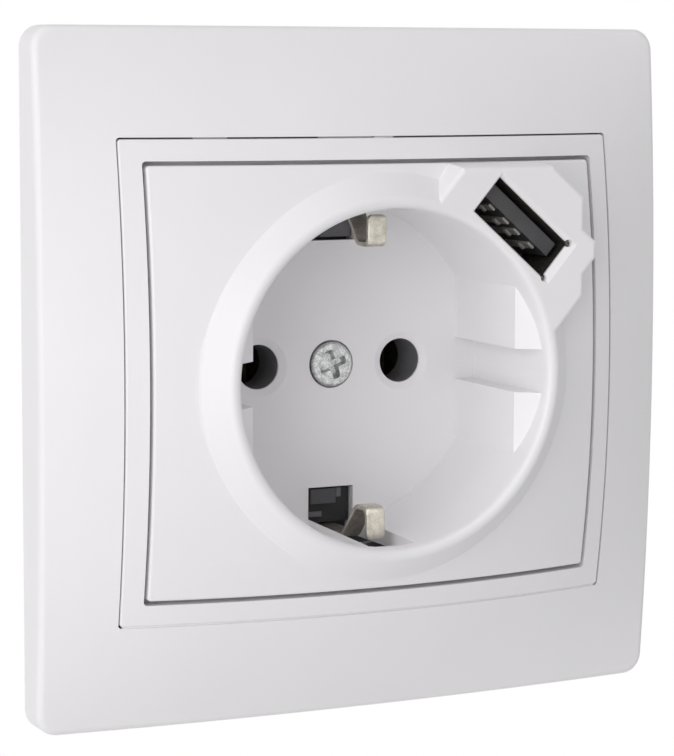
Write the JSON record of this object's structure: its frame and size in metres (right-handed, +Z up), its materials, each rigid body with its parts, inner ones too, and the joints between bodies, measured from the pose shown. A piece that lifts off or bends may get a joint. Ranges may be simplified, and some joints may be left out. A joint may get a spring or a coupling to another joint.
{
  "type": "usb wall socket",
  "caption": "Flush wall socket with a domed square frame, a round earthed plug recess and an angled USB charging port, on a steel support with screw-driven claws.",
  "frame": {"origin": "midway between the two box screw slots, on the plane of the wall behind the frame", "axes": "+Z up, -Y out of the wall toward the user, +X to the user's right"},
  "size_m": [0.0808, 0.0506, 0.0808],
  "materials": {
    "white_plastic": "satin moulded thermoset",
    "dark_plastic": "moulded insulating base",
    "black_plastic": "moulded black plastic",
    "nickel_steel": "drawn nickel-plated steel",
    "gilt_brass": "gilt contact face",
    "laminate": "coated glass laminate",
    "zinc_steel": "zinc-plated steel",
    "plated_brass": "tin-plated spring brass",
    "contact_brass": "bare spring brass",
    "lead_sleeve": "sleeved copper lead",
    "winding_tape": "taped winding"
  },
  "bodies": {
    "socket": {"outer_frame": "white_plastic", "inner_frame": "white_plastic", "centre_plate": "white_plastic", "cover_screw": "zinc_steel", "usb_shell": "nickel_steel", "usb_tongue": "black_plastic", "usb_contacts": "gilt_brass", "usb_board": "laminate", "usb_board_screws": "zinc_steel", "usb_leads": "lead_sleeve", "support_plate": "zinc_steel", "socket_base": "dark_plastic", "earth_strip": "plated_brass", "earth_rivets": "plated_brass", "earth_caps": "dark_plastic", "pin_bush_left": "dark_plastic", "pin_bush_right": "dark_plastic", "contact_left": "contact_brass", "contact_right": "contact_brass", "clamp_plates": "zinc_steel", "terminal_screws": "zinc_steel", "power_board": "laminate", "transformer": "winding_tape", "bulk_capacitor": "black_plastic", "output_capacitor": "black_plastic", "controller_chip": "black_plastic", "rectifier": "black_plastic", "rear_cover": "dark_plastic", "rear_cover_screws": "zinc_steel"},
    "claw_left": {"claw_left": "zinc_steel"},
    "claw_right": {"claw_right": "zinc_steel"},
    "claw_screw_left": {"claw_screw_left": "zinc_steel"},
    "claw_screw_right": {"claw_screw_right": "zinc_steel"},
    "claw_nut_left": {"claw_nut_left": "zinc_steel"},
    "claw_nut_right": {"claw_nut_right": "zinc_steel"}
  },
  "joints": [
    {"name": "claw_nut_left_travel", "type": "slide", "parent": "socket", "child": "claw_nut_left", "axis": [0, -1, 0], "range_m": [0, 0.0013]},
    {"name": "claw_screw_left_turn", "type": "hinge", "parent": "socket", "child": "claw_screw_left", "pos_m": [-0.0263, 0, 0], "axis": [0, 1, 0], "range_deg": [0, 936]},
    {"name": "claw_left_swing", "type": "hinge", "parent": "socket", "child": "claw_left", "pos_m": [-0.0195, 0.0076, 0], "axis": [0, 0, 1], "range_deg": [0, 20]},
    {"name": "claw_nut_right_travel", "type": "slide", "parent": "socket", "child": "claw_nut_right", "axis": [0, -1, 0], "range_m": [0, 0.0013]},
    {"name": "claw_screw_right_turn", "type": "hinge", "parent": "socket", "child": "claw_screw_right", "pos_m": [0.0263, 0, 0], "axis": [0, 1, 0], "range_deg": [0, 936]},
    {"name": "claw_right_swing", "type": "hinge", "parent": "socket", "child": "claw_right", "pos_m": [0.0195, 0.0076, 0], "axis": [0, 0, -1], "range_deg": [0, 20]}
  ],
  "couplings": [
    {"joint": "claw_screw_left_turn", "follows": "claw_nut_left_travel", "rad_per_m": 12566},
    {"joint": "claw_left_swing", "follows": "claw_nut_left_travel", "rad_per_m": 268.51},
    {"joint": "claw_screw_right_turn", "follows": "claw_nut_right_travel", "rad_per_m": 12566},
    {"joint": "claw_right_swing", "follows": "claw_nut_right_travel", "rad_per_m": 268.51}
  ]
}
